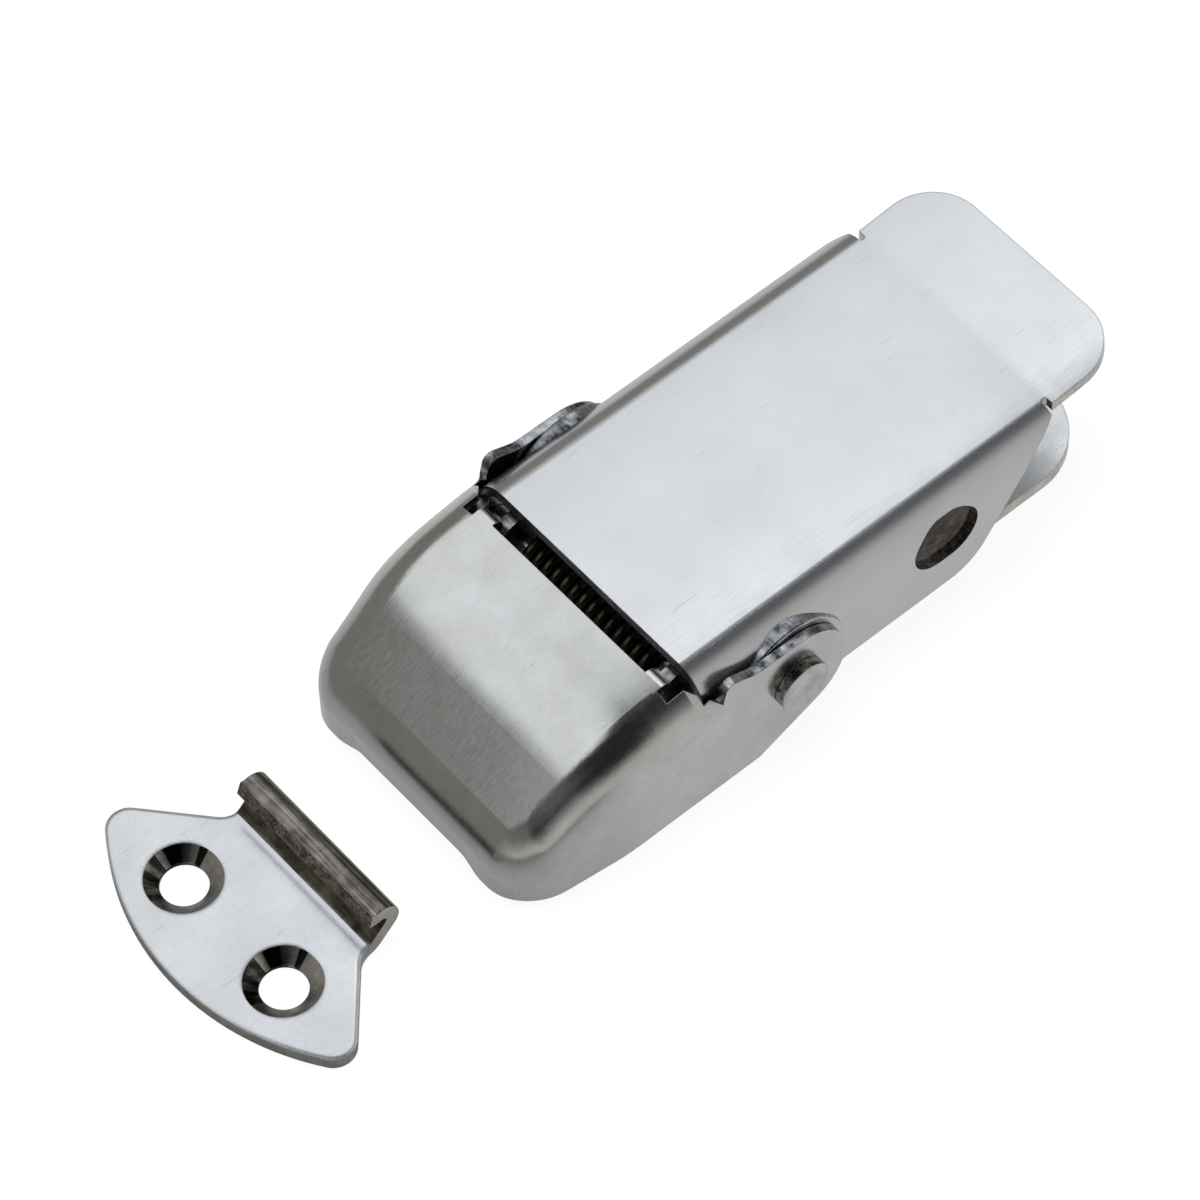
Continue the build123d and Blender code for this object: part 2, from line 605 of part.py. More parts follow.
with BuildPart() as upright_spring:
    with BuildLine() as spring_path:
        coil = Helix(coil_pitch, coil_length, coil_radius)
        Line(coil @ 1, coil @ 1 + (coil % 1) * SPRING_LEVER_LEG)
        Line(coil @ 0 - (coil % 0) * foot_length, coil @ 0)
    wire_path = spring_path.wire()
    with BuildSketch(Plane(origin=wire_path @ 0, z_dir=wire_path % 0)):
        Circle(SPRING_WIRE / 2)
    sweep(path=wire_path)

with BuildPart() as torsion_spring:
    add(upright_spring.part.moved(coil_frame.location))
torsion_spring.part.label = "torsion_spring"
export_step(torsion_spring.part, "parts/torsion_spring.step")


# Keeper: its side outline, extruded across and cut to the plan outline
keeper_half = KEEPER_LIP_LENGTH / 2
keeper_corner = KEEPER_CORNER_SPREAD / 2
riser = math.radians(KEEPER_RISER_DEGREES)

with BuildPart() as keeper:
    with BuildSketch(side_plane()) as keeper_profile:
        with BuildLine() as keeper_spine:
            flat_rear_x = KEEPER_X - 2 * KEEPER_BACK_REACH
            flat = Line((flat_rear_x, KEEPER_SHEET / 2), (KEEPER_X + KEEPER_BEND_X, KEEPER_SHEET / 2))
            bend = JernArc(flat @ 1, flat % 1, KEEPER_BEND_RADIUS, KEEPER_RISER_DEGREES)
            rise = Line(bend @ 1, bend @ 1 + (bend % 1) * KEEPER_RISER_RUN)
            curl = JernArc(rise @ 1, rise % 1, KEEPER_CURL_RADIUS, KEEPER_CURL_DEGREES)
            JernArc(curl @ 1, curl % 1, KEEPER_TIP_RADIUS, -KEEPER_TIP_DEGREES)
        trace(keeper_spine.line, KEEPER_SHEET)
    extrude(amount=keeper_corner + KEEPER_SHEET, both=True)
    with BuildSketch() as keeper_plan:
        with BuildLine():
            back = ThreePointArc(
                (KEEPER_X + KEEPER_CORNER_X, keeper_corner),
                (KEEPER_X - KEEPER_BACK_REACH, 0),
                (KEEPER_X + KEEPER_CORNER_X, -keeper_corner),
            )
            Polyline(
                back @ 1,
                (KEEPER_X + KEEPER_WAIST_X, -keeper_half),
                (KEEPER_X + 2 * KEEPER_WAIST_X, -keeper_half),
                (KEEPER_X + 2 * KEEPER_WAIST_X, keeper_half),
                (KEEPER_X + KEEPER_WAIST_X, keeper_half),
                back @ 0,
            )
        make_face()
        fillet(keeper_plan.vertices().filter_by(lambda v: v.X < KEEPER_X), KEEPER_CORNER_RADIUS)
        waist = keeper_plan.vertices().filter_by(lambda v: abs(v.X - KEEPER_X - KEEPER_WAIST_X) < 0.01)
        fillet(waist, KEEPER_WAIST_RADIUS)
    extrude(amount=far, mode=Mode.INTERSECT)
    countersunk_holes([(KEEPER_X, side * KEEPER_HOLE_SPACING / 2) for side in (-1, 1)], KEEPER_SHEET)
keeper.part.label = "keeper"
export_step(keeper.part, "parts/keeper.step")
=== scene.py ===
"""Over centre toggle latch: the finishes, the studio and the camera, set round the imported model."""

from __future__ import annotations

import logging
import math
from dataclasses import dataclass
from enum import Enum

import bmesh
import bpy
from mathutils import Matrix, Vector
from mathutils.bvhtree import BVHTree


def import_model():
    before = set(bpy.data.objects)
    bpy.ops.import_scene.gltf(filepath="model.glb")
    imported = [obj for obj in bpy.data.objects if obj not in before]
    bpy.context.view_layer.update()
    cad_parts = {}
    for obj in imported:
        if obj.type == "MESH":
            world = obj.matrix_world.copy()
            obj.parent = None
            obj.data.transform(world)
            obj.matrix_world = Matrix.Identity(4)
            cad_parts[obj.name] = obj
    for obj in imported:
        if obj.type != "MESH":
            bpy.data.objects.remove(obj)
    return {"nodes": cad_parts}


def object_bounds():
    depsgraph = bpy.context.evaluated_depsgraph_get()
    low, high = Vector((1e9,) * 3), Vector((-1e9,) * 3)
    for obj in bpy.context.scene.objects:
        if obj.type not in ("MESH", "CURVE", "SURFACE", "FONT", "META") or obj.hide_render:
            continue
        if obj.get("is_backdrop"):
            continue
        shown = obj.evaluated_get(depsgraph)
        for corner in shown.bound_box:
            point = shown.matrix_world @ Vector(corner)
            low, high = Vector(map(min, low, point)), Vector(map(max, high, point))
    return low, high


MM = 0.001
MICRON = 1e-6

# Scratches run in two families. Each has a turn, in radians, and a length of its marks
SCRATCH_FAMILIES = ((0.35, 9.0 * MM), (-0.8, 5.0 * MM))
SCRATCH_WIDTH = 0.11 * MM
SCRATCH_LAYER = 0.9 * MM
SCRATCH_DEPTH = 3.0 * MICRON
SCRATCH_DULLNESS = 0.14

# A scratch is drawn where its noise passes a level, which a scratched finish lowers, and it has a soft rim
SCRATCH_LEVEL = 0.79
SCRATCH_SPAN = 0.09
SCRATCH_RIM = 0.05

# Pits are the cores of cells: how far from a cell's middle they start and are at their darkest
PIT_START = 0.11
PIT_CORE = 0.03
PIT_DEPTH = 8.0 * MICRON

# A ray through the sheet that runs on for more than this many thicknesses has started from a cut edge
CUT_DEPTH_RATIO = 1.45

log = logging.getLogger("latch")


class Lay(Enum):
    """The axis along which the marks of a grain are long."""

    LENGTHWISE = (1.0, 0.0, 0.0)
    CROSSWISE = (0.0, 1.0, 0.0)
    UPRIGHT = (0.0, 0.0, 1.0)
    EVEN = (0.0, 0.0, 0.0)


class Kind(Enum):
    """The shader nodes that the finishes and the studio use."""

    COORDINATES = "ShaderNodeTexCoord"
    GEOMETRY = "ShaderNodeNewGeometry"
    LIGHT_PATH = "ShaderNodeLightPath"
    MAPPING = "ShaderNodeMapping"
    NOISE = "ShaderNodeTexNoise"
    CELLS = "ShaderNodeTexVoronoi"
    SCATTER = "ShaderNodeTexWhiteNoise"
    GRADIENT = "ShaderNodeTexGradient"
    RANGE = "ShaderNodeMapRange"
    MATHS = "ShaderNodeMath"
    VECTOR_MATHS = "ShaderNodeVectorMath"
    SPLIT = "ShaderNodeSeparateXYZ"
    MIX = "ShaderNodeMix"
    BEVEL = "ShaderNodeBevel"
    BUMP = "ShaderNodeBump"
    EMISSION = "ShaderNodeEmission"
    DIFFUSE = "ShaderNodeBsdfDiffuse"
    BACKGROUND = "ShaderNodeBackground"
    ADD_SHADER = "ShaderNodeAddShader"
    MIX_SHADER = "ShaderNodeMixShader"


def linear(hex_colour: str) -> tuple[float, float, float, float]:
    """Turn an sRGB hex colour into linear values.

    Args:
        hex_colour: The colour as "#RRGGBB".

    Returns:
        Linear red, green and blue, with an alpha of 1.
    """
    values = [int(hex_colour[i : i + 2], 16) / 255 for i in (1, 3, 5)]
    channels = [v / 12.92 if v <= 0.04045 else ((v + 0.055) / 1.055) ** 2.4 for v in values]
    return (*channels, 1.0)


def add_node(
    tree: bpy.types.NodeTree,
    kind: Kind,
    inputs: dict[str | int, object] | None = None,
    output: str | int = 0,
    **settings: object,
) -> bpy.types.NodeSocket:
    """Add a shader node, with its settings and its links.

    Args:
        tree: The node tree that the node joins.
        kind: The kind of node.
        inputs: A value or an output socket for each input, by name or index.
        output: The output to hand back, by name or index.
        **settings: Attributes of the node itself.

    Returns:
        The chosen output socket.
    """
    made = tree.nodes.new(kind.value)
    for name, value in settings.items():
        setattr(made, name, value)
    for key, value in (inputs or {}).items():
        if isinstance(value, bpy.types.NodeSocket):
            tree.links.new(value, made.inputs[key])
        else:
            made.inputs[key].default_value = value
    return made.outputs[output]


# Socket indices of the Mix node for float and for colour values
FLOAT_A, FLOAT_B = 2, 3
COLOUR_A, COLOUR_B, COLOUR_RESULT = 6, 7, 2


@dataclass(frozen=True)
class Marks:
    """The marks of a finish, as sockets of its node tree.

    Attributes:
        place: Position in the piece.
        grain: Height of the grain, from 0 to 1.
        scratch: 1 in a scratch and 0 outside.
        cloud: Drift of the dull and bright patches, from 0 to 1.
        pit: Depth of colour in the pits, and 0 outside.
        rounded: Normal of the surface, with its edges broken.
        edge: 1 on a broken edge and 0 away from it.
    """

    place: bpy.types.NodeSocket
    grain: bpy.types.NodeSocket
    scratch: bpy.types.NodeSocket
    cloud: bpy.types.NodeSocket
    pit: bpy.types.NodeSocket
    rounded: bpy.types.NodeSocket
    edge: bpy.types.NodeSocket


@dataclass(frozen=True)
class SteelFinish:
    """Stainless steel, with the marks that its making and handling left on the surface.

    Attributes:
        name: The material's name.
        light: Colour of the clean metal.
        dark: Colour of the metal where the surface is dull.
        roughness: Roughness of the surface between its marks.
        lay: Direction of the grain.
        grain_width: Width of one mark of the grain, in metres.
        grain_length: Length of one mark of the grain, in metres.
        grain_depth: Depth of the grain, in metres.
        grain_gloss: Swing of the roughness between the marks.
        grain_tone: Share of the dark colour in the floors of the marks.
        cloud_size: Size of the dull and bright patches, in metres.
        cloud_gloss: Swing of the roughness between the patches.
        cloud_tone: Share of the dark colour in the dull patches.
        scratches: Share of the surface that fine scratches cover, from 0 to 1.
        pit_size: Spacing of the small dark pits, in metres.
        pits: Depth of colour of the pits, from 0 to 1.
        edge_radius: Radius of the broken edges, in metres.
        edge_shine: Drop of roughness where handling has burnished an edge.
        crown: Fall of the sheet at its bends, as a slope, where the bending has bowed it.
        crown_half_width: Distance of the bends from the middle, in metres.
    """

    name: str
    light: str
    dark: str
    roughness: float
    lay: Lay = Lay.EVEN
    # Real belt marks are a few hundredths of a millimetre wide. They are drawn coarser, here and in
    # the finishes below, because finer ones fall between the pixels of a render
    grain_width: float = 0.16 * MM
    grain_length: float = 4.0 * MM
    grain_depth: float = 2.0 * MICRON
    grain_gloss: float = 0.06
    grain_tone: float = 0.35
    cloud_size: float = 6.0 * MM
    cloud_gloss: float = 0.06
    cloud_tone: float = 0.5
    scratches: float = 0.3
    pit_size: float = 1.1 * MM
    pits: float = 0.4
    edge_radius: float = 0.15 * MM
    edge_shine: float = 0.08
    crown: float = 0.0
    crown_half_width: float = 12.75 * MM

    def grain(self, tree: bpy.types.NodeTree, place: bpy.types.NodeSocket) -> bpy.types.NodeSocket:
        """Draw the grain as noise that is stretched along its lay.

        On a folded sheet the marks stay in the sheet's own surface, so the walls have a noise of
        their own, and the normal chooses between the two.

        Args:
            tree: The material's nodes.
            place: The position in the piece.

        Returns:
            The height of the grain, from 0 to 1.
        """
        across, along = 1 / self.grain_width, 1 / self.grain_length
        on_top = on_wall = tuple(across if axis == 0 else along for axis in self.lay.value)
        if self.lay is Lay.LENGTHWISE:
            on_top, on_wall = (along, across, along), (along, along, across)
        noises = []
        for scale in (on_top, on_wall):
            stretched = add_node(tree, Kind.MAPPING, {"Vector": place, "Scale": scale})
            texture = {"Vector": stretched, "Scale": 1.0, "Detail": 3.0, "Roughness": 0.62}
            noises.append(add_node(tree, Kind.NOISE, texture))
        facing = add_node(tree, Kind.COORDINATES, output="Normal")
        sideways = add_node(tree, Kind.SPLIT, {"Vector": facing}, output="Y")
        upright = add_node(tree, Kind.MATHS, {0: sideways}, operation="ABSOLUTE")
        wall = add_node(
            tree,
            Kind.RANGE,
            {"Value": upright, "From Min": 0.55, "From Max": 0.85},
            interpolation_type="SMOOTHSTEP",
        )
        return add_node(tree, Kind.MIX, {0: wall, FLOAT_A: noises[0], FLOAT_B: noises[1]})

    def scratch_mask(self, tree: bpy.types.NodeTree, place: bpy.types.NodeSocket) -> bpy.types.NodeSocket:
        """Draw sparse handling scratches in two directions.

        Args:
            tree: The material's nodes.
            place: The position in the piece.

        Returns:
            1 in a scratch and 0 outside.
        """
        level = SCRATCH_LEVEL - SCRATCH_SPAN * self.scratches
        lines = []
        for turn, length in SCRATCH_FAMILIES:
            run = add_node(
                tree,
                Kind.MAPPING,
                {
                    "Vector": place,
                    "Rotation": (turn, turn * 0.7, turn),
                    "Scale": (1 / length, 1 / SCRATCH_WIDTH, 1 / SCRATCH_LAYER),
                },
            )
            noise = add_node(tree, Kind.NOISE, {"Vector": run, "Scale": 1.0, "Detail": 1.0})
            ridge = {"Value": noise, "From Min": level, "From Max": level + SCRATCH_RIM}
            lines.append(add_node(tree, Kind.RANGE, ridge))
        return add_node(tree, Kind.MATHS, {0: lines[0], 1: lines[1]}, operation="MAXIMUM")

    def marks(self, tree: bpy.types.NodeTree) -> Marks:
        """Draw all the marks of the finish.

        Args:
            tree: The material's nodes.

        Returns:
            The marks, as sockets.
        """
        place = add_node(tree, Kind.COORDINATES, output="Object")
        patches = {"Vector": place, "Scale": 1 / self.cloud_size, "Detail": 5.0, "Roughness": 0.6}
        cells = add_node(tree, Kind.CELLS, {"Vector": place, "Scale": 1 / self.pit_size})
        core = add_node(tree, Kind.RANGE, {"Value": cells, "From Min": PIT_START, "From Max": PIT_CORE})
        # A broken edge is where the rounded normal leaves the true one
        rounded = add_node(tree, Kind.BEVEL, {"Radius": self.edge_radius}, samples=6)
        true_normal = add_node(tree, Kind.GEOMETRY, output="Normal")
        agreement = add_node(
            tree, Kind.VECTOR_MATHS, {0: rounded, 1: true_normal}, output="Value", operation="DOT_PRODUCT"
        )
        return Marks(
            place=place,
            grain=self.grain(tree, place),
            scratch=self.scratch_mask(tree, place),
            cloud=add_node(tree, Kind.NOISE, patches),
            pit=add_node(tree, Kind.MATHS, {0: core, 1: self.pits}, operation="MULTIPLY"),
            rounded=rounded,
            edge=add_node(tree, Kind.RANGE, {"Value": agreement, "From Min": 0.995, "From Max": 0.85}),
        )

    def colour(self, tree: bpy.types.NodeTree, marks: Marks) -> bpy.types.NodeSocket:
        """Mix the colour: dull patches, the floors of the grain and the pits take the darker one.

        Args:
            tree: The material's nodes.
            marks: The marks of the finish.

        Returns:
            The colour.
        """
        patch = add_node(
            tree,
            Kind.RANGE,
            {"Value": marks.cloud, "From Min": 0.35, "From Max": 0.68, "To Max": self.cloud_tone},
        )
        furrow = add_node(
            tree,
            Kind.RANGE,
            {"Value": marks.grain, "From Min": 0.6, "From Max": 0.3, "To Max": self.grain_tone},
        )
        tone = add_node(tree, Kind.MATHS, {0: patch, 1: furrow}, operation="ADD")
        dull = add_node(tree, Kind.MATHS, {0: tone, 1: marks.pit}, operation="ADD", use_clamp=True)
        return add_node(
            tree,
            Kind.MIX,
            {0: dull, COLOUR_A: linear(self.light), COLOUR_B: linear(self.dark)},
            output=COLOUR_RESULT,
            data_type="RGBA",
        )

    def gloss(self, tree: bpy.types.NodeTree, marks: Marks) -> bpy.types.NodeSocket:
        """Vary the roughness: with the grain and the patches, duller in scratches, burnished on edges.

        Args:
            tree: The material's nodes.
            marks: The marks of the finish.

        Returns:
            The roughness.
        """
        rough = self.roughness
        for mark, low, high, swing in (
            (marks.grain, 0.25, 0.75, self.grain_gloss),
            (marks.cloud, 0.3, 0.7, self.cloud_gloss),
        ):
            change = add_node(
                tree,
                Kind.RANGE,
                {"Value": mark, "From Min": low, "From Max": high, "To Min": -swing, "To Max": swing},
            )
            rough = add_node(tree, Kind.MATHS, {0: change, 1: rough}, operation="ADD")
        scratched = {0: marks.scratch, 1: SCRATCH_DULLNESS, 2: rough}
        rough = add_node(tree, Kind.MATHS, scratched, operation="MULTIPLY_ADD")
        burnished = {0: marks.edge, 1: -self.edge_shine, 2: rough}
        return add_node(tree, Kind.MATHS, burnished, operation="MULTIPLY_ADD", use_clamp=True)

    def relief(self, tree: bpy.types.NodeTree, marks: Marks) -> bpy.types.NodeSocket:
        """Raise the grain, sink the scratches and the pits, and bow the sheet towards its bends.

        Args:
            tree: The material's nodes.
            marks: The marks of the finish.

        Returns:
            The normal of the surface.
        """
        height = add_node(tree, Kind.MATHS, {0: marks.grain, 1: self.grain_depth}, operation="MULTIPLY")
        for mark, depth in ((marks.scratch, SCRATCH_DEPTH), (marks.pit, PIT_DEPTH)):
            height = add_node(tree, Kind.MATHS, {0: mark, 1: -depth, 2: height}, operation="MULTIPLY_ADD")
        if self.crown:
            side = add_node(tree, Kind.SPLIT, {"Vector": marks.place}, output="Y")
            share = add_node(tree, Kind.MATHS, {0: side, 1: self.crown_half_width}, operation="DIVIDE")
            bow = add_node(tree, Kind.MATHS, {0: share, 1: 4.0}, operation="POWER")
            # The slope of a fourth power at the bend is four times its height over the half width
            fall = -self.crown * self.crown_half_width / 4
            height = add_node(tree, Kind.MATHS, {0: bow, 1: fall, 2: height}, operation="MULTIPLY_ADD")
        surface = {"Height": height, "Distance": 1.0, "Strength": 1.0, "Normal": marks.rounded}
        return add_node(tree, Kind.BUMP, surface)

    def material(self) -> bpy.types.Material:
        """Build the material.

        Returns:
            The material, with its nodes.
        """
        made = bpy.data.materials.new(self.name)
        made.use_nodes = True
        tree = made.node_tree
        shader = tree.nodes["Principled BSDF"]
        shader.inputs["Metallic"].default_value = 1.0
        marks = self.marks(tree)
        tree.links.new(self.colour(tree, marks), shader.inputs["Base Color"])
        tree.links.new(self.gloss(tree, marks), shader.inputs["Roughness"])
        tree.links.new(self.relief(tree, marks), shader.inputs["Normal"])
        return made


# Satin stainless sheet, ground with a fine belt: a soft silver face with short, close marks
SATIN_SHEET = SteelFinish(
    "satin_stainless_sheet",
    "#BFC1C2",
    "#B3B5B6",
    0.26,
    Lay.LENGTHWISE,
    grain_depth=0.8 * MICRON,
    grain_gloss=0.03,
    grain_tone=0.25,
    cloud_size=11.0 * MM,
    cloud_gloss=0.02,
    cloud_tone=0.3,
    scratches=0.12,
    crown=0.09,
)

# The same sheet after drawing: short pulled marks, small pits, and dull patches where it stretched
DRAWN_SHEET = SteelFinish(
    "drawn_stainless_sheet",
    "#BDBFBE",
    "#A5A29C",
    0.2,
    Lay.LENGTHWISE,
    grain_length=1.2 * MM,
    grain_depth=1.8 * MICRON,
    grain_gloss=0.04,
    cloud_size=5.0 * MM,
    cloud_gloss=0.015,
    cloud_tone=0.4,
    scratches=0.12,
    pit_size=0.7 * MM,
    pits=0.5,
    crown=0.05,
)

# Mill finish of the base: pale, even and finely speckled
MILL_SHEET = SteelFinish(
    "mill_stainless_sheet",
    "#CFD0D1",
    "#BBBDBE",
    0.3,
    Lay.EVEN,
    grain_width=0.3 * MM,
    grain_length=0.3 * MM,
    grain_depth=6.0 * MICRON,
    scratches=0.2,
    pits=0.5,
)

# Tumbled stainless sheet: bright and almost without lay, with rolled edges and small dents
TUMBLED_SHEET = SteelFinish(
    "tumbled_stainless_sheet",
    "#BFC1C2",
    "#B0B2B3",
    0.2,
    Lay.EVEN,
    grain_width=0.4 * MM,
    grain_length=0.4 * MM,
    grain_depth=3.0 * MICRON,
    grain_gloss=0.03,
    cloud_gloss=0.03,
    scratches=0.3,
    pits=0.5,
    edge_radius=0.7 * MM,
)

# Sheared edge: a burnished band and a torn band, which make dark and bright hatching across the sheet
SHEARED_FLAT = SteelFinish(
    "sheared_stainless_edge",
    "#6E6862",
    "#26221F",
    0.34,
    Lay.UPRIGHT,
    grain_width=0.2 * MM,
    grain_length=2.0 * MM,
    grain_depth=22.0 * MICRON,
    grain_gloss=0.14,
    cloud_size=1.5 * MM,
    cloud_tone=0.9,
    scratches=0.0,
    pit_size=0.5 * MM,
    pits=0.8,
    edge_radius=0.1 * MM,
)
SHEARED_WALL = SteelFinish(
    "sheared_stainless_wall_edge",
    "#B6B9BD",
    "#333338",
    0.3,
    Lay.CROSSWISE,
    grain_width=0.3 * MM,
    grain_length=2.0 * MM,
    grain_depth=22.0 * MICRON,
    grain_gloss=0.14,
    cloud_size=1.5 * MM,
    cloud_tone=0.9,
    scratches=0.0,
    pit_size=0.5 * MM,
    pits=0.8,
    edge_radius=0.1 * MM,
)

# Broad cut edges of the base, the keeper and the lever's top: burnished by the punch, and pale
PALE_EDGE = SteelFinish(
    "punched_base_edge",
    "#CBC8C1",
    "#9A968E",
    0.33,
    Lay.UPRIGHT,
    grain_width=0.25 * MM,
    grain_length=1.2 * MM,
    grain_depth=10.0 * MICRON,
    grain_gloss=0.08,
    cloud_size=1.8 * MM,
    cloud_tone=0.6,
    scratches=0.0,
    pits=0.7,
)

# Rim of the padlock eye and the lever's lower edges: torn by the punch, with grey and brown mottling
MOTTLED_EDGE = SteelFinish(
    "mottled_stainless_edge",
    "#B5B0A8",
    "#5B544B",
    0.36,
    Lay.CROSSWISE,
    grain_width=0.25 * MM,
    grain_length=0.9 * MM,
    grain_depth=16.0 * MICRON,
    grain_tone=0.6,
    cloud_size=0.9 * MM,
    cloud_tone=1.0,
    scratches=0.0,
    pit_size=0.4 * MM,
    pits=0.9,
    edge_radius=0.1 * MM,
)

# The base's lugs under the lever: their colour is painted dark brown as the shade that falls between the
# lever and the base
SHADED_LUG_SHEET = SteelFinish(
    "shaded_lug_stainless_sheet",
    "#5A5046",
    "#241E18",
    0.45,
    Lay.EVEN,
    grain_width=0.5 * MM,
    grain_length=0.5 * MM,
    grain_tone=0.7,
    cloud_size=1.2 * MM,
    cloud_tone=1.0,
    scratches=0.0,
    pit_size=0.6 * MM,
    pits=0.9,
)

# Back and top of the keeper's lip: the outside of a tight bend, with long stretch marks, its darker colour
# and its bright and brown bands partly painted as the curl's reflection and shade
STRETCHED_AND_SHADED_BEND = SteelFinish(
    "stretched_and_shaded_stainless_bend",
    "#8F8B85",
    "#4A443D",
    0.26,
    Lay.CROSSWISE,
    grain_width=0.35 * MM,
    grain_length=12.0 * MM,
    grain_tone=1.0,
    cloud_size=2.5 * MM,
    cloud_tone=0.6,
    scratches=0.3,
    pits=0.7,
)

# Hollow of the keeper's riser: the inside of the bend, painted dark as the shade that the lip's curl casts
# into it
SHADED_INNER_BEND = SteelFinish(
    "shaded_inner_stainless_bend",
    "#827C73",
    "#3C3730",
    0.36,
    Lay.CROSSWISE,
    grain_width=0.12 * MM,
    grain_length=3.0 * MM,
    grain_tone=0.6,
    cloud_size=2.0 * MM,
    cloud_tone=0.8,
    scratches=0.2,
    pits=0.8,
)

# End face of the keeper's lip: broken through by the shears, rough and brown
BROKEN_EDGE = SteelFinish(
    "broken_stainless_edge",
    "#C2B8A9",
    "#5E564B",
    0.4,
    Lay.EVEN,
    grain_width=0.3 * MM,
    grain_length=0.3 * MM,
    grain_depth=45.0 * MICRON,
    grain_tone=0.8,
    cloud_size=1.0 * MM,
    cloud_tone=0.8,
    scratches=0.0,
    pit_size=0.5 * MM,
    pits=0.9,
)

# Rivet heads: cold headed wire, flat and dull on the face
HEADED_WIRE = SteelFinish(
    "cold_headed_stainless_wire",
    "#C4C3C2",
    "#A3A19E",
    0.33,
    Lay.EVEN,
    grain_width=0.35 * MM,
    grain_length=0.35 * MM,
    grain_depth=8.0 * MICRON,
    cloud_size=2.0 * MM,
    cloud_tone=0.8,
    pit_size=0.7 * MM,
    pits=0.8,
    edge_radius=0.12 * MM,
)

# The rivet's rim, torn by the heading die
TORN_RIM = SteelFinish(
    "torn_stainless_rim",
    "#B5B3B0",
    "#3A3633",
    0.28,
    Lay.EVEN,
    grain_width=0.3 * MM,
    grain_length=0.3 * MM,
    grain_depth=40.0 * MICRON,
    grain_gloss=0.16,
    cloud_size=0.8 * MM,
    cloud_tone=1.0,
    pit_size=0.5 * MM,
    pits=1.0,
)

# Turned bar and drawn spring wire: darker metal with a bright skin; the spring wire's colour is painted near
# black brown, as the shade in the gap under the lever where it sits
TURNED_BAR = SteelFinish(
    "turned_stainless_bar",
    "#A9A8A6",
    "#7E7C79",
    0.26,
    Lay.EVEN,
    grain_width=0.12 * MM,
    grain_length=0.12 * MM,
)
SHADED_SPRING_WIRE = SteelFinish(
    "shaded_stainless_spring_wire",
    "#4C463E",
    "#221F1A",
    0.3,
    Lay.EVEN,
    grain_width=0.2 * MM,
    grain_length=0.2 * MM,
)


@dataclass(frozen=True)
class ChatteredCone(SteelFinish):
    """A countersink whose tool chattered: flats run down the cone, each with a painted level of reflection,
    and one flank is painted darker as shade.

    Attributes:
        flats: Number of flats round the cone.
        spread: Swing of the painted reflection level between the flats.
        floor: Painted reflection level of the lowest flat, where the cone faces along the latch.
        flank_shade: Rise of the painted level towards the lit flank, and its fall towards the shaded one, as
            painted light and shade.
    """

    flats: float = 26.0
    spread: float = 0.5
    floor: float = 0.36
    flank_shade: float = 0.6

    def grain(self, tree: bpy.types.NodeTree, place: bpy.types.NodeSocket) -> bpy.types.NodeSocket:
        """Give each flat a painted reflection level of its own, which falls towards the flank painted in
        shade.

        Args:
            tree: The material's nodes.
            place: The position in the piece, which the flats don't need.

        Returns:
            A level from 0 to 1.
        """
        facing = add_node(tree, Kind.COORDINATES, output="Normal")
        flank = add_node(tree, Kind.SPLIT, {"Vector": facing}, output="Y")
        turn = add_node(tree, Kind.GRADIENT, {"Vector": facing}, output="Fac", gradient_type="RADIAL")
        count = add_node(tree, Kind.MATHS, {0: turn, 1: self.flats}, operation="MULTIPLY")
        whole = add_node(tree, Kind.MATHS, {0: count}, operation="FLOOR")
        level = add_node(tree, Kind.SCATTER, {"W": whole}, output="Value", noise_dimensions="1D")
        spread = {0: level, 1: self.spread, 2: self.floor}
        even = add_node(tree, Kind.MATHS, spread, operation="MULTIPLY_ADD")
        # Painted light and shade: each flat's level is its painted reflection, and the flank facing one way
        # is painted darker
        flank_shaded = {0: flank, 1: self.flank_shade, 2: even}
        return add_node(tree, Kind.MATHS, flank_shaded, operation="MULTIPLY_ADD", use_clamp=True)


# Countersink cut with a chattering tool: polished flats, whose flashes dark and bright round the cone are
# painted reflection, and one flank painted darker as shade
COUNTERSINK = ChatteredCone(
    "countersunk_stainless",
    "#D0CFCB",
    "#2E2B27",
    0.16,
    grain_depth=0.0,
    grain_gloss=0.07,
    grain_tone=0.9,
    cloud_size=2.0 * MM,
    cloud_tone=0.5,
    scratches=0.0,
)


def paint(obj: bpy.types.Object, finishes: list[SteelFinish]) -> None:
    """Give each face of an object its finish.

    Args:
        obj: The object to dress.
        finishes: The finish of each face, in the order of the faces.
    """
    obj.data.materials.clear()
    slots: dict[str, int] = {}
    for face, finish in zip(obj.data.polygons, finishes, strict=True):
        if finish.name not in slots:
            slots[finish.name] = len(slots)
            obj.data.materials.append(bpy.data.materials.get(finish.name) or finish.material())
        face.material_index = slots[finish.name]
    log.info("%s: %d faces in %d finishes", obj.name, len(finishes), len(slots))


def cut_faces(obj: bpy.types.Object, sheet: float) -> set[int]:
    """Find the faces where the shears or the punch went through the sheet.

    A ray sent inwards from a face of the sheet comes out after one thickness. From a cut edge it
    runs on along the sheet.

    Args:
        obj: A solid made from folded sheet.
        sheet: Thickness of the sheet, in metres.

    Returns:
        Indices of the cut faces.
    """
    mesh = obj.data
    tree = BVHTree.FromPolygons([v.co for v in mesh.vertices], [p.vertices for p in mesh.polygons])
    found = set()
    for face in mesh.polygons:
        start = face.center - face.normal * (0.01 * MM)
        depth = tree.ray_cast(start, -face.normal)[3]
        if depth is None or depth > CUT_DEPTH_RATIO * sheet:
            found.add(face.index)
    return found


